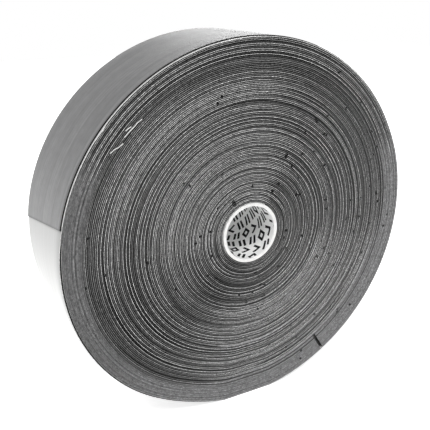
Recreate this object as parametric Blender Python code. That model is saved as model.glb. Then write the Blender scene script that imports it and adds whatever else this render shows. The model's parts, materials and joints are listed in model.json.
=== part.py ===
"""Roll of elastic sports tape on a paper core, standing on its tread.

The roll's axis runs along Y and its front side faces -Y. Angles go round the axis as the front
side shows them: 0 points to +X and 90 degrees up to +Z. The tape is wound with its release liner
inside and its fabric outside. The fabric's free end is a little short of 180 degrees, at TAIL_END,
and the liner runs on past it to LEADER_END. Lengths are in metres.
"""
import math
from math import radians

import bpy

# Tape
TAPE_WIDTH = 0.050
FABRIC = 0.0005            # elastic fabric with its adhesive coat
LINER = 0.00015            # silicone paper
LINER_WIDTH = 0.0497
GAP = 0.0003               # clearance between neighbouring pieces
WRAP = FABRIC + LINER + 2 * GAP

# Roll
ROLL_RADIUS = 0.0875       # axis to the fabric at its free end
OVAL = 0.011               # the soft roll is a little out of round
OVAL_TILT = radians(23)
FLAT_DEPTH = 0.0008        # how far the tread is pressed flat where the roll stands
GROUPS = 8                 # the buried turns, lumped into this many pairs of rings
GROUP_SHIFT = 0.00022      # how far a group stands out sideways

# Core: a printed inner ply, a board ply and an outer ply
BORE_RADIUS = 0.0127
THIN_PLY = 0.00025
BOARD_PLY = 0.0004
CORE_RADIUS = BORE_RADIUS + 2 * THIN_PLY + BOARD_PLY + 2 * GAP

# Start strip: the double-sided strip that fixes the first turn to the core
STRIP = 0.00015
STRIP_WIDTH = 0.040
STRIP_FROM = radians(60)
STRIP_TO = radians(120)

# Free end: the fabric peels from TAIL_ROOT, and the liner's leader ends at LEADER_END
TAIL_ROOT = radians(127)
TAIL_END = radians(172)
LEADER_END = radians(235)
TAIL_PIECES = 3
LEADER_PIECES = 3

FINE = radians(4)          # facet of the outer rings
COARSE = radians(8)        # facet of the inner rings and the core
FINE_FROM = 0.050          # radius from which rings have fine facets

DOWN = radians(-90)
TURN = 2 * math.pi

CHARCOAL = (0.030, 0.030, 0.032)
LINER_WHITE = (0.80, 0.80, 0.78)
BOARD_GREY = (0.55, 0.53, 0.49)
PRINT_WHITE = (0.85, 0.85, 0.84)
STRIP_AMBER = (0.75, 0.70, 0.55)


# ---- the roll's shape ---------------------------------------------------------------------------

def slack(radius):
    """0 at the core, which stays round, to 1 at the outside, which gives."""
    return max(0.0, (radius - CORE_RADIUS) / (ROLL_RADIUS - CORE_RADIUS))


def oval_radius(radius, angle):
    return radius * (1 + OVAL * slack(radius) * math.cos(2 * (angle - OVAL_TILT)))


def flat_of(radius_at):
    """How far below the axis a layer is pressed flat, and the half angle that its flat covers."""
    radius = radius_at(DOWN)
    round_reach = oval_radius(radius, DOWN)
    drop = round_reach - FLAT_DEPTH * slack(radius) ** 2
    return drop, math.acos(drop / round_reach)


def wound_point(radius_at, angle):
    """Point (x, z) from the axis, on a layer whose round radius is radius_at(angle)."""
    reach = oval_radius(radius_at(angle), angle)
    if math.sin(angle) < 0:
        reach = min(reach, flat_of(radius_at)[0] / -math.sin(angle))
    return reach * math.cos(angle), reach * math.sin(angle)


def round_layer(radius):
    return lambda angle: radius


def spiral_layer(depth):
    """A layer at this depth under the outer wrap, which closes in by one wrap in each turn."""
    def radius_at(angle):
        return ROLL_RADIUS - depth - WRAP * (TAIL_END - angle) / TURN
    return radius_at


def angles(start, end, facet):
    steps = max(1, round(abs(end - start) / facet))
    return [start + (end - start) * i / steps for i in range(steps + 1)]


def layer_points(radius_at, start, end, facet):
    """Points along a layer, with one at each end of its flat."""
    along = angles(start, end, facet)
    half = flat_of(radius_at)[1]
    edges = [DOWN - half, DOWN + half] if half > 0 else []
    along += [edge for edge in edges if min(start, end) < edge < max(start, end)]
    return [wound_point(radius_at, angle) for angle in sorted(along, reverse=end < start)]


# ---- building blocks ----------------------------------------------------------------------------

def clear_scene():
    for obj in list(bpy.data.objects):
        bpy.data.objects.remove(obj, do_unlink=True)


def make_material(name, colour, roughness):
    material = bpy.data.materials.new(name)
    material.use_nodes = True
    shader = material.node_tree.nodes["Principled BSDF"]
    shader.inputs["Base Color"].default_value = (*colour, 1)
    shader.inputs["Roughness"].default_value = roughness
    shader.inputs["Metallic"].default_value = 0
    return material


def outline_piece(name, outlines, width, colour, roughness, pivot=(0, 0), shift=0.0, parent=None):
    """Closed outlines, as (x, z) from the roll's axis, filled and given a width along Y."""
    curve = bpy.data.curves.new(name, "CURVE")
    curve.dimensions = "2D"
    curve.fill_mode = "BOTH"
    curve.extrude = width / 2
    for outline in outlines:
        spline = curve.splines.new("POLY")
        spline.points.add(len(outline) - 1)
        for point, (x, z) in zip(spline.points, outline):
            point.co = (x - pivot[0], z - pivot[1], 0, 1)
        spline.use_cyclic_u = True
    curve.materials.append(make_material(name, colour, roughness))
    piece = bpy.data.objects.new(name, curve)
    roll.objects.link(piece)
    piece.rotation_euler = (math.pi / 2, 0, 0)
    if parent:
        piece.parent = parent
        piece.location = (0, shift, 0)
    else:
        piece.location = (AXIS_X + pivot[0], shift, AXIS_Z + pivot[1])
    return piece


def hinge_empty(name, pivot, parent, parent_pivot):
    """An empty on a joint's axis, at (x, z) from the roll's axis."""
    empty = bpy.data.objects.new(name, None)
    roll.objects.link(empty)
    if parent:
        empty.parent = parent
        empty.location = (pivot[0] - parent_pivot[0], 0, pivot[1] - parent_pivot[1])
    else:
        empty.location = (AXIS_X + pivot[0], 0, AXIS_Z + pivot[1])
    return empty


def full_turn(radius, facet):
    return layer_points(round_layer(radius), TAIL_END, TAIL_END - TURN, facet)[:-1]


def ring(name, inner, outer, width, colour, roughness, shift=0.0):
    facet = FINE if inner > FINE_FROM else COARSE
    outlines = [full_turn(radius, facet) for radius in (outer, inner)]
    return outline_piece(name, outlines, width, colour, roughness, shift=shift)


def strip_outline(depth, thickness, start, end):
    """The outline of a length of web: its outer side one way, its inner side back."""
    facet = FINE
    outer = layer_points(spiral_layer(depth), start, end, facet)
    inner = layer_points(spiral_layer(depth + thickness), end, start, facet)
    return outer + inner


# ---- the object ---------------------------------------------------------------------------------

def make_core():
    board = BORE_RADIUS + THIN_PLY + GAP
    outer = board + BOARD_PLY + GAP
    ring("core_printed_ply", BORE_RADIUS, BORE_RADIUS + THIN_PLY, TAPE_WIDTH, PRINT_WHITE, 0.55)
    ring("core_board_ply", board, board + BOARD_PLY, TAPE_WIDTH, BOARD_GREY, 0.8)
    ring("core_outer_ply", outer, outer + THIN_PLY, TAPE_WIDTH, PRINT_WHITE, 0.7)


def make_start_strip():
    inner = CORE_RADIUS + GAP
    outline = (layer_points(round_layer(inner + STRIP), STRIP_FROM, STRIP_TO, COARSE)
               + layer_points(round_layer(inner), STRIP_TO, STRIP_FROM, COARSE))
    outline_piece("start_strip", [outline], STRIP_WIDTH, STRIP_AMBER, 0.4)


def make_wound_turns():
    """Rings for the buried turns: in each group all the liner, then all the fabric, as one ring."""
    first = CORE_RADIUS + 2 * GAP + STRIP
    last = ROLL_RADIUS - WRAP
    pitch = (last - first + GAP) / GROUPS
    liner_share = LINER / (LINER + FABRIC)
    liner = (pitch - 2 * GAP) * liner_share
    for group in range(GROUPS):
        shift = GROUP_SHIFT * math.sin(2.1 * group)
        inner = first + group * pitch
        liner_outer = inner + liner
        fabric_inner = liner_outer + GAP
        fabric_outer = inner + pitch - GAP
        number = f"{group + 1:02d}"
        ring("liner_turns_" + number, inner, liner_outer, LINER_WIDTH, LINER_WHITE, 0.5, shift)
        if group < GROUPS - 1:
            ring("fabric_turns_" + number, fabric_inner, fabric_outer, TAPE_WIDTH, CHARCOAL, 0.9,
                 shift)
        else:
            outer = layer_points(spiral_layer(WRAP), TAIL_END, TAIL_END - TURN, FINE)
            inside = full_turn(fabric_inner, FINE)
            outline_piece("fabric_turns_" + number, [outer, inside], TAPE_WIDTH, CHARCOAL, 0.9)


def make_last_turn():
    """The outermost turn, from the flap's root round to the step where it goes under the flap."""
    half_gap = GAP / 2 / ROLL_RADIUS
    end = TAIL_END - TURN + 2 * half_gap
    fabric = strip_outline(0, FABRIC, TAIL_ROOT - half_gap, end)
    liner = strip_outline(FABRIC + GAP, LINER, TAIL_ROOT - half_gap, end)
    outline_piece("last_turn_fabric", [fabric], TAPE_WIDTH, CHARCOAL, 0.9)
    outline_piece("last_turn_liner", [liner], LINER_WIDTH, LINER_WHITE, 0.5)


def make_chain(names, depth, thickness, width, edges, colour, roughness):
    """A length of web cut at the given angles, each piece hinged to the one before."""
    half_gap = GAP / 2 / ROLL_RADIUS
    parent = None
    parent_pivot = (0, 0)
    for index, name in enumerate(names):
        start = edges[index]
        end = edges[index + 1]
        pivot = wound_point(spiral_layer(depth), start)
        hinge = hinge_empty(name + "_hinge", pivot, parent, parent_pivot)
        outline = strip_outline(depth, thickness, start + half_gap, end - half_gap)
        outline_piece(name, [outline], width, colour, roughness, pivot=pivot, parent=hinge)
        parent = hinge
        parent_pivot = pivot


def make_free_end():
    tail_edges = angles(TAIL_ROOT, TAIL_END, (TAIL_END - TAIL_ROOT) / TAIL_PIECES)
    leader_edges = angles(TAIL_END, LEADER_END, (LEADER_END - TAIL_END) / LEADER_PIECES)
    tail_names = [f"tail_fabric_{i + 1}" for i in range(TAIL_PIECES)]
    liner_names = [f"tail_liner_{i + 1}" for i in range(TAIL_PIECES)]
    leader_names = [f"liner_leader_{i + 1}" for i in range(LEADER_PIECES)]
    make_chain(tail_names, 0, FABRIC, TAPE_WIDTH, tail_edges, CHARCOAL, 0.9)
    make_chain(liner_names + leader_names, FABRIC + GAP, LINER, LINER_WIDTH,
               tail_edges + leader_edges[1:], LINER_WHITE, 0.5)


def outside_x():
    """The roll's lowest and highest x from its axis, over the leader, the tail and the last turn."""
    leader = layer_points(spiral_layer(FABRIC + GAP), LEADER_END, TAIL_END, FINE)
    wrap = layer_points(spiral_layer(0), TAIL_END, TAIL_END - TURN, FINE)
    xs = [x for x, z in leader + wrap]
    return min(xs), max(xs)


clear_scene()
roll = bpy.data.collections.new("sports_tape_roll")
bpy.context.scene.collection.children.link(roll)

# The origin is under the middle of the roll, on the surface it stands on.
AXIS_X = -sum(outside_x()) / 2
AXIS_Z = flat_of(spiral_layer(0))[0]

make_core()
make_start_strip()
make_wound_turns()
make_last_turn()
make_free_end()
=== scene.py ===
import json
import math
from math import cos, pi, radians, sin, tan

import bpy
import numpy as np
from mathutils import Matrix, Vector


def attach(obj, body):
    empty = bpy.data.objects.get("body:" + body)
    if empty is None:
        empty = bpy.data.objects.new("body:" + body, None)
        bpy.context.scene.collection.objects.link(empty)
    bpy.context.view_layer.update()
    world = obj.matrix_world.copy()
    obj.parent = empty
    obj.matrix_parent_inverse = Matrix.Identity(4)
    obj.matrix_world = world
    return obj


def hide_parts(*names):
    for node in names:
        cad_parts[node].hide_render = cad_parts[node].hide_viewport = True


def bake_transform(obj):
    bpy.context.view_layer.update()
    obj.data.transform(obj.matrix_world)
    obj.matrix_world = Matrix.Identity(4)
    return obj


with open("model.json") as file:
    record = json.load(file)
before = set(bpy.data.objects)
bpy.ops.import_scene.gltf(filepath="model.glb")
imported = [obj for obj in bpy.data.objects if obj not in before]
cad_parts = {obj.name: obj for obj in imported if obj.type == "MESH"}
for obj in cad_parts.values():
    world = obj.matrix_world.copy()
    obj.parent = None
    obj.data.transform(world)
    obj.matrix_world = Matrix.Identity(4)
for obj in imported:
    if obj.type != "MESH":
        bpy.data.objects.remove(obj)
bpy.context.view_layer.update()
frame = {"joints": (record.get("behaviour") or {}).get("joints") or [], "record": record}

# A bulk roll of elastic sports tape. The web is one spiral of fabric with its release liner inside,
# about a hundred turns on a paper core, and its free end peels off the roll. Angles go round the
# roll's axis as the front side (-Y) shows them: 0 points to +X and 90 degrees up to +Z. A web
# angle is unwound: it is TAIL_END at the fabric's free end and falls by TURN with each turn inward.
# Lengths are in metres.

TURN = 2 * pi
DOWN = -pi / 2
MM = 0.001

# ---- sizes -------------------------------------------

# The axis is the middle of the core's bore.
bore_low, bore_high = frame["record"]["physics"]["openings"][0]["box_m"]
AXIS_X = (bore_low[0] + bore_high[0]) / 2
AXIS_Z = (bore_low[2] + bore_high[2]) / 2

# Web
TAPE_WIDTH = 50 * MM
FABRIC = 0.50 * MM
LINER = 0.12 * MM
LINER_WIDTH = 49.9 * MM
CONTACT = 0.01 * MM            # between the fabric and its own liner

# Roll, with the CAD's out-of-round shape
ROLL_RADIUS = 87.5 * MM        # axis to the fabric at its free end
OVAL = 0.011
OVAL_TILT = radians(23)
SAG = 0.95 * MM                # the soft side dents in beside the contact with the floor
SAG_AT = radians(247)
SAG_REACH = radians(15)

# Core
BORE_RADIUS = 12.7 * MM
PRINT_PLY = 0.30 * MM
BOARD_PLY = 0.93 * MM
SKIN_PLY = 0.25 * MM
PLY_CONTACT = 0.01 * MM
CORE_RADIUS = BORE_RADIUS + PRINT_PLY + BOARD_PLY + SKIN_PLY + 2 * PLY_CONTACT

# Start strip, under the inner end of the web
START_STRIP = 0.15 * MM
START_STRIP_WIDTH = 40 * MM
START_AT = radians(60)
START_STRIP_TO = radians(120)

# Free end: cut angles from the frame's hinges, and the ends of fabric and liner
TAIL_END = radians(172)
TAIL_SLANT = radians(3.1)      # the fabric's end is cut this much earlier in front, later at the back
LEADER_END = radians(235)
GROUPS = 8
TAIL_STEP = radians(0.5)       # facet of the free end

# The buried turns fill the space between the core and the last turn.
START_RADIUS = CORE_RADIUS + START_STRIP + FABRIC + LINER + 0.08 * MM
TURNS = 101 + (TAIL_END - START_AT) / TURN
PITCH = (ROLL_RADIUS - START_RADIUS) / TURNS

# Facets
TREAD_STEP = radians(0.75)
OUTER_STEP = radians(3)
INNER_STEP = radians(6)
OUTER_FROM = 48 * MM           # radius from which the buried turns have the finer facet
ROUND = 128                    # facets round the core

# Cross-section of a cut edge, as (inset, depth): the fabric's is crowned and the liner's is square.
FABRIC_EDGE = [(0.300, 0.00), (0.085, 0.07), (0.000, 0.25), (0.085, 0.43), (0.300, 0.50)]
LINER_EDGE = [(0.0, 0.0), (0.0, 0.12)]

# Turns that stand back or out at the front, as (radius mm, from, to, figure), in degrees: a groove
# is fabric set back by so many mm, and a ridge is liner that stands out by RIDGE_OUT times as many.
GROOVES = [
    (18.8, 95, 200, 0.7), (23.3, 0, 100, 0.5), (25.1, -15, 62, 1.0), (31.1, 80, 160, 0.7),
    (34.2, 85, 150, 0.6), (34.4, 240, 282, 0.7), (40.1, 0, 62, 0.6), (42.8, 108, 165, 0.7),
    (49.1, -10, 168, 0.9), (51.9, 238, 282, 0.6), (56.4, 90, 160, 0.7), (57.5, 196, 244, 1.0),
    (60.1, 5, 92, 0.7), (61.0, 92, 262, 1.0), (63.5, 262, 335, 0.7), (65.3, 206, 262, 1.0),
    (66.8, -5, 66, 0.7), (70.5, 186, 246, 1.0), (75.9, 222, 302, 0.8), (78.1, 192, 236, 1.0),
]
RIDGES = [
    (18.0, 218, 312, 0.5), (20.4, 228, 284, 0.45), (27.8, 238, 332, 0.6), (30.9, 268, 322, 0.4),
    (37.4, 268, 324, 0.4), (41.6, 0, 100, 0.35), (53.0, 238, 334, 0.5), (57.0, 240, 322, 0.5),
    (60.9, 8, 72, 0.6), (63.0, 242, 278, 0.55), (68.9, 236, 334, 0.9), (69.6, 240, 330, 0.6),
    (73.5, 278, 312, 0.5),
]
# The free end's liner stands out along the upper left rim, most at the top.
FREE_LINER = 0.55              # mm
FREE_LINER_GROWS = (38, 20)    # degrees where it starts, and over which it comes
FREE_LINER_ENDS = (176, 4)     # degrees where it has gone, and over which it goes
FREE_LIGHT = (30, 20)          # the same for its edge's lightness
# More of it, as (at, half the arc, mm)
RIM_FLAKES = [(141.0, 1.3, 0.7), (143.2, 0.8, 0.5), (104, 8, 0.6), (93, 7, 0.8), (82, 8, 0.5)]
# Torn slivers of liner on the front side, as points of (radius mm, angle)
SLIVERS = [
    [(76.9, 131.6), (77.3, 133.4), (77.2, 134.6), (77.5, 136.9), (77.7, 139.1)],
    [(78.2, 135.4), (78.7, 136.4), (78.9, 137.4)],
    [(76.6, 140.6), (77.1, 141.9), (77.6, 142.9)],
    [(77.5, 142.4), (78.3, 143.6), (78.9, 145.0)],
]
SLIVER_WIDTH = 0.32 * MM
SLIVER_LIFT = 0.15 * MM
# Painted highlights and painted shade: parts of the front side that are lighter or darker in colour,
# as (radius from, to, angle from, to, times)
SHADES = [
    (6, 46, 60, 186, 2.2), (46, 76, 75, 165, 1.6), (58, 78, 186, 262, 0.60),
    (20, 60, 196, 236, 0.85), (10, 42, 222, 264, 0.60), (34, 86, 246, 345, 2.3),
]
SHADE_FADE, SHADE_EDGE = 30, 12    # degrees and mm over which they fade
# Random grooves and ridges: how many, and the weakest and strongest
RANDOM_GROOVES = (100, 0.15, 0.50)
RANDOM_RIDGES = (60, 0.10, 0.45)
ARC_RADII = (17, 84)
ARC_SPANS = (15, 110)
GROOVE_FADE, RIDGE_FADE = 16, 14   # degrees over which their ends fade
GROOVE_SEED, RIDGE_SEED, SNAG_SEED = 12, 13, 11
RIDGE_GROOVE = 0.6             # mm, the groove in the turn under each ridge
DARK_GROOVE = 0.5              # mm, the depth from which a groove's painted shade is at its darkest
LINER_IN_GROOVE = 0.45         # of the groove's depth
RIDGE_OUT = 0.5                # of a ridge's figure

# Cuts and snags in the front side, as (radius from, radius to, at, half width mm, depth mm)
NICK = (76.4, 86.6, 301.6, 0.62, 1.6)
NOTCHES = [(16.9, 19.7, 120, 0.7, 0.4), (25.2, 27.6, 308, 0.6, 0.4), (37.8, 39.6, 62, 0.5, 0.35)]
# Smaller snags at random: a third of them anywhere, and the rest in a sector at the right
SPECKS = 110
SPECK_RADII = (19, 83)
SPECK_LENGTH = (0.8, 1.6)
SPECK_SECTOR = (-85, 62)
SPECK_HALF = (0.28, 0.50)
SPECK_DEPTH = (0.25, 0.50)
SNAG_SLOPE = 0.12              # mm over which a snag's side slopes
LINER_IN_SNAG = 0.8            # of the snag's depth

# Outer band: the last turns stand out a little and are lighter from the lower left to the right;
# their rise towards the right is a painted highlight
BAND_FROM = 78.2 * MM
BAND_ARC = (158, 376)
BAND_FADE = 14
BAND_PROUD = 0.45 * MM
BAND_TONE = 9.9
BAND_DULL = 0.62               # of that tone at the lower left, rising to the right: painted highlight
GLOW_FROM, GLOW_OVER = 205, 50
CALM_FROM = 75 * MM
CALM_AT, CALM_REACH, CALM_FADE = 305, 45, 25
CALM_EDGE = 3 * MM
CALM_LINER = 0.24              # the liner's tone there

# The outermost fabric edge from the top round the left is set back, in mm, and dark in colour:
# painted shade.
RIM_BACK = 0.25
RIM_BACK_ARC, RIM_DARK_ARC, RIM_FADE = (100, 236), (96, 238), 12

# Sideways wanders of the whole web, as (mm, seed, turns between values)
SHIFTS = [(0.16, 3, 6.3), (0.10, 4, 1.37), (0.07, 5, 0.41)]
SETTLED_AT = 0.6               # turns from the free end, where the whole shift is reached
# Wanders of the front edges, as (seed, turns between values), and their size in mm
FABRIC_WANDER, FABRIC_UNEVEN = (6, 0.77), 0.10
LINER_WANDER, LINER_UNEVEN, LINER_BACK = (7, 0.83), 0.12, 0.05
FREE_LINER_WANDER = (8, 0.035)
# Wanders of the tones, in octaves; a contrast sets each turn off from the turns beside it
CONTRAST_SPACING = 0.93
TURN_SEED, FABRIC_SEED, BAND_SEED, LINER_SEED = 21, 25, 24, 31
TURN_CONTRAST, FABRIC_CONTRAST, BAND_CONTRAST, LINER_CONTRAST = 1.5, 0.5, 0.45, 0.9
SLOW_TONE, FABRIC_TONE, LINER_TONE = (23, 7.1), (22, 0.31), (32, 0.23)
# How light the edges are apart from that
LINER_EDGE_TONE = 0.50
# Painted shade in the grooves, on fabric and liner, and on the outermost fabric edge
GROOVE_SHADE, LINER_SHADE, RIM_SHADE = 0.97, 0.65, 0.97
# Painted highlights on the ridges, on fabric and liner
RIDGE_LIGHT, RIDGE_LIGHT_FROM, RIDGE_LINER_LIGHT = 11, 0.2, 0.6
DARKEST, LIGHTEST = 0.01, 12


# ---- the roll's shape --------------------------------

def smooth(value):
    value = np.clip(value, 0, 1)
    return value * value * (3 - 2 * value)


def slack(radius):
    """0 at the core, which stays round, to 1 at the outside, which gives."""
    return np.clip((radius - CORE_RADIUS) / (ROLL_RADIUS - CORE_RADIUS), 0, None)


def soft_radius(radius, angle):
    """The reach of a layer of this round radius, before the floor presses it flat."""
    away = (angle - SAG_AT + pi) % TURN - pi
    sag = SAG * slack(radius) ** 2 * np.exp(-(away / SAG_REACH) ** 2)
    return radius * (1 + OVAL * slack(radius) * np.cos(2 * (angle - OVAL_TILT))) - sag


def web_radius(angle):
    """Round radius of the fabric's outer side at a web angle."""
    return ROLL_RADIUS - PITCH * (TAIL_END - angle) / TURN


FLAT_DEPTH = soft_radius(web_radius(DOWN), DOWN) - AXIS_Z


def wound(angle, depth):
    """Points (x, z) on the web at a depth under its outer side."""
    radius = web_radius(angle) - depth
    reach = soft_radius(radius, angle)
    lowest = DOWN + TURN * np.round((angle - DOWN) / TURN)
    bottom = web_radius(lowest) - depth
    drop = soft_radius(bottom, lowest) - FLAT_DEPTH * slack(bottom) ** 2
    under = np.sin(angle)
    reach = np.where(under < -0.5, np.minimum(reach, drop / np.maximum(-under, 0.5)), reach)
    return AXIS_X + reach * np.cos(angle), AXIS_Z + reach * np.sin(angle)


def web_length(angle):
    """Length of the web from the fabric's free end."""
    unwound = TAIL_END - angle
    return unwound * ROLL_RADIUS - PITCH * unwound ** 2 / (2 * TURN)


def on_turn(radius, angle):
    """The web angle that is nearest this radius, in metres, at an angle round the roll."""
    guess = TAIL_END - TURN * (ROLL_RADIUS - radius) / PITCH
    return angle + TURN * round((guess - angle) / TURN)


def arc_share(angle, radius_mm, start, end, fade):
    """1 on one turn between two angles in degrees, fading to 0 beyond them."""
    middle = on_turn(radius_mm * MM, radians((start + end) / 2))
    half = radians((end - start) / 2)
    return smooth((half + radians(fade) - np.abs(angle - middle)) / radians(fade))


def degrees_from(angle, at):
    """How many degrees a web angle is from a place round the roll, the shorter way."""
    return np.abs((np.degrees(angle) - at + 180) % 360 - 180)


def sector_share(angle, start, end, fade, beyond=1):
    """1 between two places round the roll, in degrees, with this share of the fade beyond them."""
    return smooth(((end - start) / 2 - degrees_from(angle, (start + end) / 2)) / fade + beyond)


def band_share(angle):
    """1 in the outer band along its arc, 0 elsewhere."""
    along = sector_share(angle, *BAND_ARC, BAND_FADE)
    return along * smooth((web_radius(angle) - BAND_FROM) / PITCH + 0.5)


def calm_share(angle):
    """1 where the turns lie level and look alike: in the band, and inside it at lower right."""
    inside = smooth((CALM_REACH - degrees_from(angle, CALM_AT)) / CALM_FADE + 0.5)
    inside = inside * smooth((web_radius(angle) - CALM_FROM) / CALM_EDGE + 0.5)
    return np.maximum(band_share(angle), inside)


def drift(turn, seed, spacing):
    """A smooth random wander from -1 to 1 along the web, with a new value every so many turns.

    Its values run from three turns before the free end to two past the inner end.
    """
    values = np.random.default_rng(seed).uniform(-1, 1, 2 + int((TURNS + 5) / spacing))
    place = (turn + 3) / spacing
    low = np.floor(place).astype(int)
    share = smooth(place - low)
    return values[low] * (1 - share) + values[low + 1] * share


def turn_number(angle):
    return (TAIL_END - angle) / TURN


def side_shift(angle):
    """How far the web lies towards the back of the roll, from how it was wound."""
    turn = turn_number(angle)
    shift = sum(amount * drift(turn, seed, spacing) for amount, seed, spacing in SHIFTS)
    settled = smooth(turn / SETTLED_AT)
    return shift * MM * settled - BAND_PROUD * band_share(angle) * settled


def make_snags():
    """Every cut and snag: the nick, the notches, and the specks at random places."""
    rng = np.random.default_rng(SNAG_SEED)
    snags = [NICK] + NOTCHES
    for i in range(SPECKS):
        low = rng.uniform(*SPECK_RADII)
        high = low + rng.uniform(*SPECK_LENGTH)
        at = rng.uniform(0, 360) if i % 3 == 0 else rng.uniform(*SPECK_SECTOR)
        snags.append((low, high, at, rng.uniform(*SPECK_HALF), rng.uniform(*SPECK_DEPTH)))
    return snags


SNAGS = make_snags()


def snag_depth(angle, wider=0.0):
    """How far a cut or snag sets the front edge back."""
    radius = web_radius(angle) / MM
    depth = np.zeros_like(angle)
    for low, high, at, half, deep in SNAGS:
        away = np.abs((angle - radians(at) + pi) % TURN - pi) * radius
        share = np.clip((half + wider + SNAG_SLOPE - away) / SNAG_SLOPE, 0, 1)
        depth = np.maximum(depth, share * deep * ((radius > low) & (radius < high)))
    return depth * MM


def random_arcs(seed, count, weak, strong):
    """Arcs at random places, of the same form as GROOVES and RIDGES."""
    rng = np.random.default_rng(seed)
    arcs = []
    for _ in range(count):
        start = rng.uniform(0, 360)
        arcs.append((rng.uniform(*ARC_RADII), start, start + rng.uniform(*ARC_SPANS),
                     rng.uniform(weak, strong)))
    return arcs


# The fabric under each ridge lies a little deeper.
RIDGE_GROOVES = [(radius - PITCH / MM, start + 4, end - 4, RIDGE_GROOVE)
                 for radius, start, end, _ in RIDGES]
ALL_GROOVES = GROOVES + RIDGE_GROOVES + random_arcs(GROOVE_SEED, *RANDOM_GROOVES)
ALL_RIDGES = RIDGES + random_arcs(RIDGE_SEED, *RANDOM_RIDGES)


def grooved(angle):
    """Depth in mm of the grooves at a web angle."""
    depth = np.zeros_like(angle)
    for radius, start, end, deep in ALL_GROOVES:
        depth = np.maximum(depth, deep * arc_share(angle, radius, start, end, GROOVE_FADE))
    return depth * (1 - band_share(angle)) * (1 - 0.5 * calm_share(angle))


def ridged(angle):
    """The figure of the ridges at a web angle."""
    out = np.zeros_like(angle)
    for radius, start, end, high in ALL_RIDGES:
        out = np.maximum(out, high * arc_share(angle, radius, start, end, RIDGE_FADE))
    return out * (1 - 0.8 * calm_share(angle))


def rim_share(angle, start, end):
    """1 along the outermost turn between two angles round the roll, in degrees."""
    return sector_share(angle, start, end, RIM_FADE) * (turn_number(angle) < 1)


def free_liner(angle):
    """How far in mm the liner under the free end stands out in front."""
    out = FREE_LINER * (1 + 0.3 * drift(turn_number(angle), *FREE_LINER_WANDER))
    for at, half, more in RIM_FLAKES:
        out = out + more * smooth(1.5 - np.abs(np.degrees(angle) - at) / half)
    first, grows = (radians(value) for value in FREE_LINER_GROWS)
    last, goes = (radians(value) for value in FREE_LINER_ENDS)
    return out * smooth((angle - first) / grows) * smooth((last - angle) / goes)


def shade(angle):
    """How much lighter or darker the front side's colour is here: painted highlights and painted
    shade.
    """
    radius = web_radius(angle) / MM
    times = np.ones_like(angle)
    for low, high, start, end, factor in SHADES:
        share = sector_share(angle, start, end, SHADE_FADE, 0.5)
        inside = (high - low) / 2 - np.abs(radius - (low + high) / 2)
        share = share * smooth(inside / SHADE_EDGE + 0.5)
        times = times * factor ** share
    return np.where(band_share(angle) > 0, 1 + (times - 1) * (1 - band_share(angle)), times)


def fabric_front(angle):
    """How far the fabric's front edge is set back."""
    turn = turn_number(angle)
    back = FABRIC_UNEVEN * (1 + drift(turn, *FABRIC_WANDER)) * (1 - band_share(angle))
    back = back + grooved(angle) + RIM_BACK * rim_share(angle, *RIM_BACK_ARC)
    return back * MM + snag_depth(angle)


def liner_front(angle):
    """How far the liner's front edge is set back; below 0 it stands out."""
    back = LINER_BACK - LINER_UNEVEN * drift(turn_number(angle), *LINER_WANDER)
    back = back + LINER_IN_GROOVE * grooved(angle) - RIDGE_OUT * ridged(angle) - free_liner(angle)
    return back * MM + LINER_IN_SNAG * snag_depth(angle)


def cut_share(angle):
    """1 in a cut or snag and on its sides, which are dark."""
    return np.clip(snag_depth(angle, SNAG_SLOPE) / (0.2 * MM), 0, 1)


def contrast(turn, seed):
    """A random wander in which each turn tends to differ from the ones beside it."""
    here, beside, beyond = (drift(turn - away, seed, CONTRAST_SPACING)
                            + drift(turn + away, seed, CONTRAST_SPACING) for away in range(3))
    return here / 2 - beside * 2 / 3 + beyond / 6


def turn_tone(turn):
    """Each turn is lighter or darker than its neighbours, fabric and liner alike."""
    return 2.0 ** (TURN_CONTRAST * contrast(turn, TURN_SEED) + 0.3 * drift(turn, *SLOW_TONE))


def grooves_shade(angle, share):
    """Painted shade in the grooves: 1 on the level, and less by this share in the grooves."""
    return 1 - share * np.clip(grooved(angle) / DARK_GROOVE, 0, 1)


def fabric_tone(angle, front):
    """How light the fabric's cut edge is, around 1, in front or at the back."""
    turn = turn_number(angle)
    own = FABRIC_CONTRAST * contrast(turn, FABRIC_SEED) + 0.7 * drift(turn, *FABRIC_TONE)
    tone = turn_tone(turn) * 2.0 ** own
    calm = calm_share(angle)
    # Painted highlight on the outer band, rising to the right
    light = BAND_TONE * (BAND_DULL + (1 - BAND_DULL) * band_highlight(angle))
    light = light * 2.0 ** (BAND_CONTRAST * contrast(turn, BAND_SEED))
    # Painted highlight on the ridges
    lit = RIDGE_LIGHT * np.clip(ridged(angle) - RIDGE_LIGHT_FROM, 0, None)
    tone = tone * (1 - calm) + light * calm + lit
    # Painted highlights and painted shade over the front side, and painted shade in the grooves
    tone = tone * shade(angle) * grooves_shade(angle, GROOVE_SHADE)
    if front:
        # Painted shade on the outermost fabric edge
        tone = tone * (1 - cut_share(angle)) * (1 - RIM_SHADE * rim_share(angle, *RIM_DARK_ARC))
    return np.clip(tone, DARKEST, LIGHTEST)


def band_highlight(angle):
    """Painted highlight along the outer band: 0 at the lower left to 1 at the right."""
    around = np.degrees(angle) % 360
    return smooth((np.where(around < 90, around + 360, around) - GLOW_FROM) / GLOW_OVER)


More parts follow.
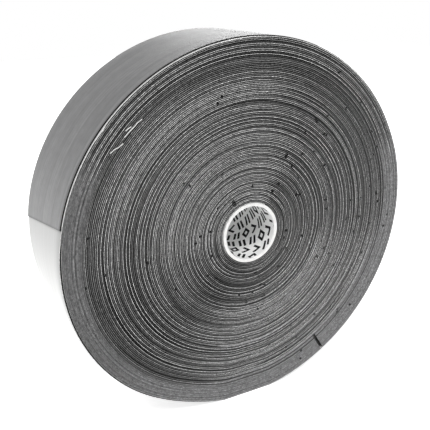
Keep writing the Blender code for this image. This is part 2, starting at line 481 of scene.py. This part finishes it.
def liner_tone(angle, front):
    """How light the liner's cut edge is, up to 1, in front or at the back."""
    turn = turn_number(angle)
    own = LINER_CONTRAST * contrast(turn, LINER_SEED) + 0.5 * drift(turn, *LINER_TONE)
    tone = LINER_EDGE_TONE * turn_tone(turn) * 2.0 ** own
    # Painted highlights and painted shade over the front side, and painted shade in the grooves
    tone = tone * shade(angle) * grooves_shade(angle, LINER_SHADE)
    calm = calm_share(angle)
    # Painted highlight on the ridges
    tone = tone * (1 - calm) + CALM_LINER * calm + RIDGE_LINER_LIGHT * ridged(angle)
    first, grows = (radians(value) for value in FREE_LIGHT)
    free = smooth((angle - first) / grows)
    tone = tone * (1 - free) + free
    if front:
        tone = tone * (1 - cut_share(angle))
    return np.clip(tone, DARKEST, 1)


# ---- building blocks ---------------------------------

def finish_mesh(name, points, faces, sharp=40):
    """A smooth-shaded object from points and faces."""
    mesh = bpy.data.meshes.new(name)
    mesh.from_pydata([tuple(p) for p in points], [], faces)
    mesh.update()
    mesh.shade_smooth()
    mesh.set_sharp_from_angle(angle=radians(sharp))
    piece = bpy.data.objects.new(name, mesh)
    bpy.context.scene.collection.objects.link(piece)
    return piece


def mark_sharp(mesh, size, borders):
    """Sharp edges along a web piece where its wide sides meet its cut edges, and round its ends."""
    ends = np.zeros(len(mesh.edges) * 2, np.int32)
    mesh.edges.foreach_get("vertices", ends)
    ends = ends.reshape(-1, 2)
    place = ends % size
    sharp = (place[:, 0] == place[:, 1]) & np.isin(place[:, 0], borders)
    last = len(mesh.vertices) - size
    sharp |= (ends < size).all(1) | (ends >= last).all(1)
    mark = mesh.attributes.get("sharp_edge") or mesh.attributes.new("sharp_edge", "BOOLEAN", "EDGE")
    mark.data.foreach_set("value", sharp)


def web_angles(start, end, step):
    """Web angles from start down to end: multiples of the step, both ends, and each snag's sides."""
    first = math.ceil(end / step + 1e-6)
    last = math.floor(start / step - 1e-6)
    found = [start, end] + [step * i for i in range(first, last + 1)]
    for low, high, at, half, _ in SNAGS:
        for turn in range(math.ceil((end - radians(at)) / TURN),
                          math.floor((start - radians(at)) / TURN) + 1):
            middle = radians(at) + TURN * turn
            radius = web_radius(middle) / MM
            if low - 1 < radius < high + 1:
                for out in (half, half + SNAG_SLOPE, half + 2 * SNAG_SLOPE):
                    found += [middle - out / radius, middle + out / radius]
    found = sorted((a for a in set(found) if end <= a <= start), reverse=True)
    kept = [found[0]]
    for angle in found[1:]:
        if kept[-1] - angle > 1e-5:
            kept.append(angle)
    kept[-1] = end
    return np.array(kept)


def web_piece(name, start, end, step, layer, materials, slant=0.0):
    """A closed length of fabric or liner between two web angles, outer end first.

    With a slant its outer end is cut that much earlier in front and later at the back.
    """
    if layer == "fabric":
        edge, width, top = FABRIC_EDGE, TAPE_WIDTH, 0.0
        front, tone_at = fabric_front, fabric_tone
    else:
        edge, width, top = LINER_EDGE, LINER_WIDTH, FABRIC + CONTACT
        front, tone_at = liner_front, liner_tone
    angle = web_angles(start, end, step)
    count = len(angle)
    shift = side_shift(angle)
    front_edge = -width / 2 + shift + front(angle)
    back_edge = width / 2 + shift
    along = web_length(angle)

    # One section is the front edge from outside to inside, then the back edge from inside out.
    section = [(-1, inset * MM, depth * MM) for inset, depth in edge]
    section += [(1, inset * MM, depth * MM) for inset, depth in reversed(edge)]
    size = len(section)
    points = np.zeros((count, size, 3))
    across = np.zeros((count, size))
    lengths = np.zeros((count, size))
    for i, (side, inset, depth) in enumerate(section):
        slanted = angle + side * slant * (angle - end) / (start - end)
        x, z = wound(slanted, top + depth)
        lengths[:, i] = web_length(slanted)
        y = front_edge + inset if side < 0 else back_edge - inset
        points[:, i, 0] = x
        points[:, i, 1] = y
        points[:, i, 2] = z
        across[:, i] = y + side * depth
    rows = np.arange(count - 1)[:, None] * size
    columns = np.arange(size)[None, :]
    following = (columns + 1) % size
    quads = np.stack([rows + columns, rows + following,
                      rows + size + following, rows + size + columns], -1).reshape(-1, 4)
    faces = quads.tolist()
    faces.append(list(range(size - 1, -1, -1)))
    faces.append([(count - 1) * size + i for i in range(size)])
    piece = finish_mesh(name, points.reshape(-1, 3), faces, 180)
    mesh = piece.data
    mark_sharp(mesh, size, (0, len(edge) - 1, len(edge), size - 1))

    # Outer side, cut edges and inner side have materials of their own.
    kind = np.ones(size, int)
    kind[size - 1] = 0
    kind[len(edge) - 1] = 2
    index = np.append(np.tile(kind, count - 1), [1, 1])
    mesh.polygons.foreach_set("material_index", index.astype(np.int32))
    for material in materials:
        mesh.materials.append(material)

    # The UV map is in metres: along the web, and across it over the edges.
    corners = np.zeros(len(mesh.loops), np.int32)
    mesh.loops.foreach_get("vertex_index", corners)
    flat = np.stack([lengths, across], -1).reshape(-1, 2)
    layer_uv = mesh.uv_layers.new(name="web")
    layer_uv.data.foreach_set("uv", flat[corners].astype(np.float32).ravel())
    tones = [tone_at(angle, side < 0) for side, _, _ in section]
    tone = mesh.attributes.new("tone", "FLOAT", "POINT")
    tone.data.foreach_set("value", np.stack(tones, -1).astype(np.float32).ravel())
    piece["web_length"] = float(abs(along[-1] - along[0]))
    return piece


def turned(name, profile, material_of_face, materials):
    """A ring turned from a closed profile of (radius, y) round the roll's axis."""
    size = len(profile)
    points = []
    for step in range(ROUND):
        angle = TURN * step / ROUND
        for radius, y in profile:
            points.append((AXIS_X + radius * cos(angle), y, AXIS_Z + radius * sin(angle)))
    faces = []
    for step in range(ROUND):
        here, there = step * size, (step + 1) % ROUND * size
        for i in range(size):
            j = (i + 1) % size
            faces.append((here + i, there + i, there + j, here + j))
    piece = finish_mesh(name, points, faces, 30)
    mesh = piece.data
    for material in materials:
        mesh.materials.append(material)
    mesh.polygons.foreach_set("material_index", np.tile(material_of_face, ROUND).astype(np.int32))
    corners = np.zeros(len(mesh.loops), np.int32)
    mesh.loops.foreach_get("vertex_index", corners)
    place = np.zeros((len(points), 2))
    for i in range(ROUND):
        for j, (radius, y) in enumerate(profile):
            place[i * size + j] = (BORE_RADIUS * TURN * i / ROUND, y)
    uv = place[corners].reshape(ROUND, -1, 2)
    wrapped = uv[-1, :, 0]
    wrapped[wrapped < BORE_RADIUS * pi] += BORE_RADIUS * TURN
    mesh.uv_layers.new(name="web").data.foreach_set("uv", uv.astype(np.float32).ravel())
    return piece


# ---- materials ---------------------------------------

FRONT_SHADOW = 2.6 * MM             # painted shadow: the fabric is darker this far in from its front edge
END_SHADOW = 1.4 * MM                 # and painted shadow this far from its cut end
WARP, WEFT = 0.62 * MM, 0.50 * MM
WAVE_LENGTH, WAVE_SWING, WAVE_SPACING = 14 * MM, 1.3 * MM, 3.2 * MM    # of the adhesive
GAP_SHADE = 2.4 * MM                # painted shade: the wound liner is darker this far in from its front edge
GREY_OVER, GREY_FRONT, SHADOW_LINE = 34 * MM, 8 * MM, 1.2 * MM         # painted shade on the free liner: over this length beyond the fabric's end, this far in from its front, and a shadow line at the end


class Nodes:
    """A short way to build a node material."""

    def __init__(self, name, roughness=0.6, specular=0.5):
        self.material = bpy.data.materials.new(name)
        self.material.use_nodes = True
        self.tree = self.material.node_tree
        self.shader = self.tree.nodes["Principled BSDF"]
        self.shader.inputs["Roughness"].default_value = roughness
        self.shader.inputs["Specular IOR Level"].default_value = specular

    def add(self, kind, **settings):
        node = self.tree.nodes.new("ShaderNode" + kind)
        for key, value in settings.items():
            setattr(node, key, value)
        return node

    def put(self, target, value):
        if isinstance(value, bpy.types.NodeSocket):
            self.tree.links.new(value, target)
        else:
            target.default_value = value

    def math(self, operation, first, second=0.0, clamp=False):
        node = self.add("Math", operation=operation, use_clamp=clamp)
        self.put(node.inputs[0], first)
        self.put(node.inputs[1], second)
        return node.outputs[0]

    def web(self, along=1.0, across=1.0):
        """The web's UV map, in metres, scaled along and across."""
        uv = self.add("UVMap", uv_map="web")
        scale = self.add("VectorMath", operation="MULTIPLY")
        self.put(scale.inputs[0], uv.outputs[0])
        scale.inputs[1].default_value = (along, across, 1)
        return scale.outputs[0]

    def place(self):
        """How far along and across the web, in metres."""
        parts = self.add("SeparateXYZ")
        self.put(parts.inputs[0], self.web())
        return parts.outputs[0], parts.outputs[1]

    def from_end(self):
        """Distance from the fabric's oblique end, in metres; below 0 on the leader beyond it."""
        along, across = self.place()
        slope = TAIL_SLANT * ROLL_RADIUS / (TAPE_WIDTH / 2)
        return self.math("ADD", along, self.math("MULTIPLY", across, slope))

    def noise(self, along, across, detail=2.0, rough=0.5):
        node = self.add("TexNoise")
        self.put(node.inputs["Vector"], self.web(along, across))
        node.inputs["Scale"].default_value = 1
        node.inputs["Detail"].default_value = detail
        node.inputs["Roughness"].default_value = rough
        return node.outputs["Fac"]

    def ramp(self, value, start, end, low, high, kind="SMOOTHSTEP"):
        """From low to high as a value goes from start to end, eased unless the kind is LINEAR."""
        node = self.add("MapRange", interpolation_type=kind)
        self.put(node.inputs["Value"], value)
        for name, number in (("From Min", start), ("From Max", end), ("To Min", low),
                             ("To Max", high)):
            node.inputs[name].default_value = number
        return node.outputs["Result"]

    def spread(self, value, low, high):
        """A 0 to 1 value, of which the middle part is stretched to a range."""
        return self.ramp(value, 0.3, 0.7, low, high, "LINEAR")

    def attribute(self, name):
        return self.add("Attribute", attribute_name=name).outputs["Fac"]

    def tinted(self, colour, *factors):
        """A colour made lighter or darker by factors."""
        factor = factors[0]
        for other in factors[1:]:
            factor = self.math("MULTIPLY", factor, other)
        scale = self.add("VectorMath", operation="SCALE")
        scale.inputs[0].default_value = colour
        self.put(scale.inputs["Scale"], factor)
        self.put(self.shader.inputs["Base Color"], scale.outputs[0])

    def bump(self, height, distance, strength=1.0):
        node = self.add("Bump")
        self.put(node.inputs["Height"], height)
        node.inputs["Distance"].default_value = distance
        node.inputs["Strength"].default_value = strength
        self.put(self.shader.inputs["Normal"], node.outputs[0])

    def roughness(self, value, low, high):
        self.put(self.shader.inputs["Roughness"], self.spread(value, low, high))


def fabric_material():
    """The elastic fabric's outer side: lengthwise yarns with a soft sheen."""
    look = Nodes("tape_fabric", specular=0.5)
    along, across = look.place()
    streaks = look.noise(9, 620, 3, 0.6)
    broad = look.noise(14, 110, 2)
    mottle = look.noise(260, 260, 3)
    fine = look.noise(240, 3100, 1)
    # Painted shadow along the fabric's front edge
    front_shadow = look.ramp(across, -TAPE_WIDTH / 2, FRONT_SHADOW - TAPE_WIDTH / 2, 0.10, 1.0)
    # Painted shadow along the fabric's cut end
    end_shadow = look.ramp(look.from_end(), 0.0, END_SHADOW, 0.50, 1.0)
    look.tinted((0.200, 0.200, 0.202), look.spread(streaks, 0.76, 1.22),
                look.spread(broad, 0.86, 1.14), look.spread(mottle, 0.92, 1.08), front_shadow, end_shadow)
    look.roughness(streaks, 0.48, 0.64)
    warp = look.math("SINE", look.math("MULTIPLY", across, TURN / WARP))
    weft = look.math("SINE", look.math("MULTIPLY", along, TURN / WEFT))
    weave = look.math("MULTIPLY", warp, weft)
    height = look.math("ADD", look.math("MULTIPLY", weave, 0.10), look.math("MULTIPLY", streaks, 0.8))
    height = look.math("ADD", height, look.math("MULTIPLY", fine, 0.5))
    look.bump(height, 0.05 * MM, 0.8)
    look.shader.inputs["Sheen Weight"].default_value = 0.20
    look.shader.inputs["Sheen Roughness"].default_value = 0.45
    return look.material


def edge_material(name, colour, roughness, specular):
    """A cut edge of the web: fibres, dust and the tone of its turn, with painted highlights and
    shade.
    """
    look = Nodes(name, roughness, specular)
    fibres = look.noise(1000, 5200, 2)
    patches = look.noise(650, 650, 2)
    look.tinted(colour, look.attribute("tone"), look.spread(fibres, 0.50, 1.62),
                look.spread(patches, 0.68, 1.36))
    look.bump(fibres, 0.05 * MM, 0.7)
    return look.material


def adhesive_material():
    """The fabric's inner side: acrylic adhesive, laid on in lengthwise waves."""
    look = Nodes("tape_adhesive", 0.35, 0.5)
    along, across = look.place()
    swing = look.math("SINE", look.math("MULTIPLY", along, TURN / WAVE_LENGTH))
    lane = look.math("ADD", across, look.math("MULTIPLY", swing, WAVE_SWING))
    wave = look.math("SINE", look.math("MULTIPLY", lane, TURN / WAVE_SPACING))
    wave = look.math("ADD", look.math("MULTIPLY", wave, 0.5), 0.5)
    grain = look.noise(900, 900, 2)
    look.tinted((0.135, 0.133, 0.130), look.math("ADD", look.math("MULTIPLY", wave, 0.5), 0.75),
                look.spread(grain, 0.9, 1.1))
    look.roughness(wave, 0.28, 0.5)
    look.bump(look.math("ADD", wave, look.math("MULTIPLY", grain, 0.2)), 0.06 * MM, 0.6)
    return look.material


def liner_material(name, free):
    """The release liner: glossy white paper with faint lengthwise lines.

    The free liner is greyer beyond the fabric's end and in front there: painted shade. On a wound
    liner the first millimetres from the front are darker: painted shade between the turns.
    """
    look = Nodes(name, 0.42, 0.5)
    _, across = look.place()
    streaks = look.noise(6, 420, 3, 0.6)
    fibres = look.noise(700, 2100, 3)
    edge = -LINER_WIDTH / 2
    if free:
        # Painted shade on the free liner beyond the fabric's end and at its front, with a painted
        # shadow line at the end
        far = look.from_end()
        grey = look.ramp(far, -GREY_OVER, 0.0, 1.0, 0.68)
        front = look.ramp(across, edge, edge + GREY_FRONT, 0.70, 1.0)
        line = look.ramp(far, -SHADOW_LINE, 0.0, 1.0, 0.75)
        under = look.ramp(far, 0.0, 2 * MM, 0.0, 1.0)
        painted_shade = look.math("MULTIPLY", grey, look.math("MULTIPLY", front, line))
        painted_shade = look.math("MAXIMUM", painted_shade, under)
    else:
        # Painted shade between the turns, near the wound liner's front edge
        painted_shade = look.ramp(across, edge, edge + GAP_SHADE, 0.13, 1.0)
    look.tinted((0.86, 0.86, 0.85), look.spread(streaks, 0.90, 1.04),
                look.spread(fibres, 0.98, 1.01), painted_shade)
    look.roughness(streaks, 0.36, 0.50)
    look.bump(look.math("ADD", fibres, streaks), 0.02 * MM, 0.4)
    return look.material


def paper_material(name, colour, roughness, grain=0.03):
    """Smooth paper with faint fibres."""
    look = Nodes(name, roughness, 0.5)
    fibres = look.noise(700, 2100, 3)
    clouds = look.noise(60, 60, 2)
    look.tinted(colour, look.spread(fibres, 1 - grain, 1 + grain / 2),
                look.spread(clouds, 0.97, 1.01))
    look.roughness(fibres, roughness - 0.05, roughness + 0.06)
    look.bump(fibres, 0.02 * MM, 0.4)
    return look.material


def bore_material():
    """The printed ply in the bore, with the seam of its spiral winding."""
    look = Nodes("core_print", 0.38, 0.5)
    along, across = look.place()
    lane = look.math("ADD", look.math("MULTIPLY", along, tan(ROW_SLOPE)), across)
    lane = look.math("DIVIDE", lane, ROW_SPACING_Y)
    lane = look.math("FRACT", look.math("ADD", lane, 100.36))
    seam = look.math("COMPARE", lane, 0.0)
    seam.node.inputs[2].default_value = 0.012
    fibres = look.noise(900, 900, 3)
    look.tinted((0.96, 0.96, 0.955), look.spread(fibres, 0.96, 1.02),
                look.math("SUBTRACT", 1.0, look.math("MULTIPLY", seam, 0.35)))
    look.bump(look.math("SUBTRACT", fibres, look.math("MULTIPLY", seam, 3.0)), 0.03 * MM, 0.5)
    return look.material


def ink_material():
    look = Nodes("print_ink", 0.75, 0.15)
    grain = look.noise(1500, 1500, 2)
    look.tinted((0.008, 0.008, 0.009), look.spread(grain, 0.7, 1.3))
    return look.material


# ---- printed marks in the bore -----------------------

ROWS = 4
ROW_SLOPE = radians(41)        # the marks run along the core's own spiral
ROW_SPACING_Y = BORE_RADIUS * TURN * tan(ROW_SLOPE) / ROWS
MARK_STROKE = 1.2 * MM
STROKE_STEP = 0.8 * MM
INK = 0.02 * MM

# Plain signs, as strokes in a square: slashes, arrowheads, diamonds and bars
SIGNS = [
    [[(0.0, 0.0), (0.40, 1.0)], [(0.60, 0.0), (1.0, 1.0)]],
    [[(0.1, 0.0), (0.9, 0.5), (0.1, 1.0)]],
    [[(0.5, 0.0), (1.0, 0.5), (0.5, 1.0), (0.0, 0.5), (0.5, 0.0)]],
    [[(0.2, 0.0), (0.2, 1.0)], [(0.8, 0.0), (0.8, 1.0)]],
    [[(0.0, 1.0), (0.40, 0.0)], [(0.60, 1.0), (1.0, 0.0)]],
    [[(0.9, 0.0), (0.1, 0.5), (0.9, 1.0)]],
]
# Lines of signs in each row, as (height of its base, sign height, sign width, gap) in mm
LINES = [(6.9, 5.0, 3.7, 1.9), (0.6, 4.6, 3.5, 1.9)]


def on_wall(along, up, lift):
    """A point on the bore's wall, from a place along a row of marks and up across it."""
    round_way = along * cos(ROW_SLOPE) + up * sin(ROW_SLOPE)
    y = -along * sin(ROW_SLOPE) + up * cos(ROW_SLOPE)
    angle = round_way / BORE_RADIUS
    radius = BORE_RADIUS - lift
    return AXIS_X + radius * cos(angle), y, AXIS_Z + radius * sin(angle)


def in_steps(path, step):
    """A path of (along, up) points with its stretches cut into steps of at most this length."""
    fine = [path[0]]
    for a, b in zip(path, path[1:]):
        parts = max(1, math.ceil(math.dist(a, b) / step))
        fine += [(a[0] + (b[0] - a[0]) * i / parts, a[1] + (b[1] - a[1]) * i / parts)
                 for i in range(1, parts + 1)]
    return fine


def stroke(path, points, faces, surface, width, thick):
    """A thin closed ribbon along a path of (along, up) points on a surface."""
    fine = in_steps(path, STROKE_STEP)
    closed = math.dist(path[0], path[-1]) < 1e-9
    if closed:
        fine = fine[:-1]
    count = len(fine)
    first = len(points)
    for i, (s, t) in enumerate(fine):
        before = fine[i - 1] if closed or i > 0 else fine[i]
        after = fine[(i + 1) % count] if closed or i < count - 1 else fine[i]
        into = Vector((s - before[0], t - before[1]))
        out = Vector((after[0] - s, after[1] - t))
        into = into.normalized() if into.length else out.normalized()
        out = out.normalized() if out.length else into
        middle = (into + out).normalized()
        normal = Vector((-middle.y, middle.x))
        reach = width / 2 / max(0.5, middle.dot(into))
        for side in (-1, 1):
            for lift in (thick / 5, thick):
                points.append(surface(s + normal.x * side * reach, t + normal.y * side * reach,
                                      lift))
    pairs = [(i, (i + 1) % count) for i in range(count if closed else count - 1)]
    for i, j in pairs:
        a, b = first + 4 * i, first + 4 * j
        for p, q in ((0, 1), (1, 3), (3, 2), (2, 0)):
            faces.append((a + p, a + q, b + q, b + p))
    if not closed:
        a, b = first, first + 4 * (count - 1)
        faces.append((a, a + 2, a + 3, a + 1))
        faces.append((b, b + 1, b + 3, b + 2))


def on_core(path):
    """The parts of a path of (along, up) points that lie on the core, in short steps."""
    runs, run = [], []
    for spot in in_steps(path, STROKE_STEP / 2):
        if abs(on_wall(*spot, 0)[1]) < TAPE_WIDTH / 2 - MARK_STROKE / 2 - 0.2 * MM:
            run.append(spot)
        else:
            runs.append(run)
            run = []
    runs.append(run)
    return [run for run in runs if len(run) > 2]


def make_marks(material):
    points, faces = [], []
    reach = 1.3 * TAPE_WIDTH / 2 / sin(ROW_SLOPE)
    pick = 0
    for row in range(ROWS):
        turned_by = BORE_RADIUS * TURN * row / ROWS
        for base, height, width, gap in LINES:
            place = -reach
            while place < reach:
                pick += 1
                for path in SIGNS[(pick * 5 + row * 2 + pick // 4) % len(SIGNS)]:
                    spots = [(place + s * width * MM + turned_by * cos(ROW_SLOPE),
                              (base + t * height) * MM + turned_by * sin(ROW_SLOPE))
                             for s, t in path]
                    for run in on_core(spots):
                        stroke(run, points, faces, on_wall, MARK_STROKE, INK)
                place += (width + gap) * MM
    marks = finish_mesh("core_marks", points, faces, 30)
    marks.data.materials.append(material)
    marks.data.uv_layers.new(name="web")
    return marks


# ---- the object --------------------------------------

def make_core(paper, board, bore, ink):
    half = TAPE_WIDTH / 2
    round_off = 0.08 * MM
    radius = BORE_RADIUS
    plies = [("core_tube_print", "core_printed_ply", "core_paper", PRINT_PLY, bore),
             ("core_tube_board", "core_board_ply", "core_board", BOARD_PLY, board),
             ("core_tube_skin", "core_outer_ply", "core_paper", SKIN_PLY, paper)]
    for name, node, slot, thick, inside in plies:
        outer = radius + thick
        profile = [(radius, half - round_off), (radius, -half + round_off),
                   (radius + round_off, -half), (outer - round_off, -half),
                   (outer, -half + round_off), (outer, half - round_off),
                   (outer - round_off, half), (radius + round_off, half)]
        rest = board if slot == "core_board" else paper
        ply = turned(name, profile, [0] + [1] * 7, [inside, rest])
        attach(ply, "roll")
        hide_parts(node)
        radius = outer + PLY_CONTACT
    marks = make_marks(ink)
    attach(marks, "roll")


def on_front(x, z, lift):
    """A point just in front of the roll's front side."""
    return AXIS_X + x, -TAPE_WIDTH / 2 - SLIVER_LIFT - lift, AXIS_Z + z


def make_slivers(material):
    points, faces = [], []
    for spots in SLIVERS:
        path = []
        for radius, at in spots:
            reach = soft_radius(radius * MM, radians(at))
            path.append((reach * cos(radians(at)), reach * sin(radians(at))))
        stroke(path, points, faces, on_front, SLIVER_WIDTH, LINER)
    slivers = finish_mesh("liner_slivers", points, faces, 30)
    slivers.data.materials.append(material)
    slivers.data.uv_layers.new(name="web")
    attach(slivers, "roll")


def make_start_strip(material):
    steps = 30
    points, faces = [], []
    half = START_STRIP_WIDTH / 2
    for i in range(steps + 1):
        angle = START_AT + (START_STRIP_TO - START_AT) * i / steps
        for radius in (CORE_RADIUS + 0.02 * MM, CORE_RADIUS + 0.02 * MM + START_STRIP):
            for y in (-half, half):
                points.append((AXIS_X + radius * cos(angle), y, AXIS_Z + radius * sin(angle)))
    for a in range(0, 4 * steps, 4):
        for p, q in ((0, 1), (1, 3), (3, 2), (2, 0)):
            faces.append((a + p, a + q, a + 4 + q, a + 4 + p))
    last = 4 * steps
    faces += [(0, 2, 3, 1), (last, last + 1, last + 3, last + 2)]
    strip = finish_mesh("start_tape", points, faces)
    strip.data.materials.append(material)
    strip.data.uv_layers.new(name="web")
    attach(strip, "roll")
    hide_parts("start_strip")


def group_cuts():
    """Web angles where the buried turns are split into groups, from the outside in."""
    outer = TAIL_END - TURN
    inner = TAIL_END - TURN * TURNS
    return [outer + (inner - outer) * i / GROUPS for i in range(GROUPS + 1)]


def make_wound_turns(fabric_looks, liner_looks):
    cuts = group_cuts()
    for group in range(1, GROUPS + 1):
        start, end = cuts[GROUPS - group], cuts[GROUPS - group + 1]
        step = OUTER_STEP if web_radius(end) > OUTER_FROM else INNER_STEP
        number = f"{group:02d}"
        for layer, looks, width in (("liner", liner_looks, LINER_WIDTH),
                                    ("fabric", fabric_looks, TAPE_WIDTH)):
            piece = web_piece(f"{layer}_wound_{number}", start, end, step, layer, looks)
            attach(piece, "roll")
            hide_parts(f"{layer}_turns_{number}")


def hinge_angle(joint_name):
    """Where a hinge of the free end is round the roll."""
    x, _, z = next(j["pos_m"] for j in frame["joints"] if j["name"] == joint_name)
    return math.atan2(z - AXIS_Z, x - AXIS_X) % TURN


def make_chain(layer, joints, end, nodes, names, looks):
    """The free end of one layer: a length across each hinge, and a last one that rides on the last
    hinge's child.
    """
    hinges = [hinge_angle(name) for name, _, _ in joints]
    starts = [hinges[0] - (hinges[1] - hinges[0]) / 2]
    starts += [(a + b) / 2 for a, b in zip(hinges, hinges[1:])]
    starts.append(hinges[-1] + (end - hinges[-1]) / 2)
    for i, (_, parent, child) in enumerate(joints):
        piece = web_piece(names[i], starts[i + 1], starts[i], TAIL_STEP, layer, looks)
        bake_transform(piece)
        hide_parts(nodes[i])
    slant = TAIL_SLANT if layer == "fabric" else 0.0
    last = web_piece(names[-1], end, starts[-1], TAIL_STEP, layer, looks, slant)
    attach(last, joints[-1][2])
    return starts[0]


def make_free_end(fabric_looks, liner_looks):
    fabric_joints = [("tail_peel", "roll", "fabric_flap_1"),
                     ("tail_curl_2", "fabric_flap_1", "fabric_flap_2"),
                     ("tail_curl_3", "fabric_flap_2", "fabric_flap_3")]
    liner_joints = [("liner_lift", "roll", "liner_flap_1"),
                    ("liner_curl_2", "liner_flap_1", "liner_flap_2"),
                    ("liner_curl_3", "liner_flap_2", "liner_flap_3"),
                    ("leader_curl_1", "liner_flap_3", "leader_1"),
                    ("leader_curl_2", "leader_1", "leader_2"),
                    ("leader_curl_3", "leader_2", "leader_3")]
    root = make_chain("fabric", fabric_joints, TAIL_END,
                      ["tail_fabric_1", "tail_fabric_2", "tail_fabric_3"],
                      ["tail_cloth_1", "tail_cloth_2", "tail_cloth_3", "tail_cloth_end"],
                      fabric_looks)
    make_chain("liner", liner_joints, LEADER_END,
               ["tail_liner_1", "tail_liner_2", "tail_liner_3",
                "liner_leader_1", "liner_leader_2", "liner_leader_3"],
               ["tail_backing_1", "tail_backing_2", "tail_backing_3",
                "leader_1", "leader_2", "leader_3", "leader_end"],
               liner_looks)
    return root


def make_last_turn(root, fabric_looks, liner_looks):
    """The last whole turn, from the root of the free end to the step under the fabric's end."""
    for layer, looks, width in (("liner", liner_looks, LINER_WIDTH),
                                ("fabric", fabric_looks, TAPE_WIDTH)):
        piece = web_piece("last_wrap_" + layer, root, TAIL_END - TURN, TREAD_STEP, layer, looks)
        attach(piece, "roll")
        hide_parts("last_turn_" + layer)


# ---- stage -------------------------------------------

AMBIENT = 0.36                     # how much the surround lights, of what it shows
FLOOR_SIZE = 3.0
FLOOR_GAP = 0.02 * MM
FLOOR_GLOW = 0.6
# Lights, as (name, azimuth, elevation, spread, strength), angles in degrees
LIGHTS = [("key", -12, 60, 25, 1.7), ("back", 149, 19, 25, 1.0), ("left", -112, 12, 40, 0.3)]
CAMERA_AZIMUTH = radians(28.61)    # to the left of the front side's normal
CAMERA_ELEVATION = radians(20.0)
CAMERA_DISTANCE = 286.6 * MM       # along the view, to the middle of the front side
CAMERA_ASIDE = 16.26 * MM          # how far that middle is right of the view's centre, and below it
CAMERA_BELOW = 8.18 * MM
FOCAL_LENGTH = 52.9                # mm, on a 36 mm sensor


def make_camera():
    az, el = CAMERA_AZIMUTH, CAMERA_ELEVATION
    right = Vector((cos(az), -sin(az), 0))
    below = Vector((-sin(az) * sin(el), -cos(az) * sin(el), -cos(el)))
    ahead = Vector((sin(az) * cos(el), cos(az) * cos(el), -sin(el)))
    face = Vector((AXIS_X, -TAPE_WIDTH / 2, AXIS_Z))
    data = bpy.data.cameras.new("camera")
    data.sensor_width = 36
    data.lens = FOCAL_LENGTH
    data.clip_start = 0.01
    camera = bpy.data.objects.new("camera", data)
    bpy.context.scene.collection.objects.link(camera)
    place = face - CAMERA_ASIDE * right - CAMERA_BELOW * below - CAMERA_DISTANCE * ahead
    turn = Matrix((right, -below, -ahead)).transposed().to_4x4()
    camera.matrix_world = Matrix.Translation(place) @ turn
    bpy.context.scene.camera = camera


def sun_light(name, azimuth, elevation, spread, strength):
    """A soft light from far away, at an azimuth round the roll (0 is in front, 90 to the right)."""
    az, el = radians(azimuth), radians(elevation)
    towards = Vector((sin(az) * cos(el), -cos(az) * cos(el), sin(el)))
    data = bpy.data.lights.new(name, "SUN")
    data.angle = radians(spread)
    data.energy = strength
    light = bpy.data.objects.new(name, data)
    bpy.context.scene.collection.objects.link(light)
    light.location = towards
    light.rotation_euler = (-towards).to_track_quat("-Z", "Y").to_euler()


def make_world():
    """A white surround, which lights the roll with less than it shows."""
    world = bpy.data.worlds.new("studio")
    world.use_nodes = True
    tree = world.node_tree
    background = tree.nodes["Background"]
    path = tree.nodes.new("ShaderNodeLightPath")
    strength = tree.nodes.new("ShaderNodeMapRange")
    tree.links.new(path.outputs["Is Camera Ray"], strength.inputs["Value"])
    strength.inputs["To Min"].default_value = AMBIENT
    strength.inputs["To Max"].default_value = 1.0
    tree.links.new(strength.outputs["Result"], background.inputs["Strength"])
    background.inputs["Color"].default_value = (1, 1, 1, 1)
    bpy.context.scene.world = world


def make_stage():
    bpy.ops.mesh.primitive_plane_add(size=FLOOR_SIZE, location=(0, 0, -FLOOR_GAP))
    floor = bpy.context.object
    floor.name = "floor"
    look = bpy.data.materials.new("floor")
    look.use_nodes = True
    shader = look.node_tree.nodes["Principled BSDF"]
    shader.inputs["Base Color"].default_value = (0.93, 0.93, 0.93, 1)
    shader.inputs["Roughness"].default_value = 0.9
    shader.inputs["Emission Color"].default_value = (1, 1, 1, 1)
    shader.inputs["Emission Strength"].default_value = FLOOR_GLOW
    floor.data.materials.append(look)

    make_world()
    bpy.context.scene.view_settings.view_transform = "Standard"
    for light in LIGHTS:
        sun_light(*light)


# ---- build -------------------------------------------

fabric_skin = fabric_material()
fabric_cut = edge_material("fabric_edge", (0.0215, 0.0215, 0.0218), 0.5, 0.2)
adhesive = adhesive_material()
liner_skin = liner_material("release_liner", True)
wound_liner = liner_material("release_liner_wound", False)
liner_cut = edge_material("liner_edge", (0.86, 0.86, 0.85), 0.5, 0.4)
core_paper = paper_material("core_paper", (0.94, 0.94, 0.93), 0.5)
core_board = paper_material("core_board", (0.86, 0.855, 0.84), 0.7, 0.08)
strip_film = paper_material("start_strip", (0.72, 0.66, 0.50), 0.3)
FABRIC_LOOKS = [fabric_skin, fabric_cut, adhesive]
FREE_LINER_LOOKS = [liner_skin, liner_cut, liner_skin]
LINER_LOOKS = [wound_liner, liner_cut, wound_liner]

make_core(core_paper, core_board, bore_material(), ink_material())
make_start_strip(strip_film)
make_slivers(liner_skin)
make_wound_turns(FABRIC_LOOKS, LINER_LOOKS)
tail_root = make_free_end(FABRIC_LOOKS, FREE_LINER_LOOKS)
make_last_turn(tail_root, FABRIC_LOOKS, FREE_LINER_LOOKS)
make_camera()
make_stage()

bpy.context.view_layer.update()
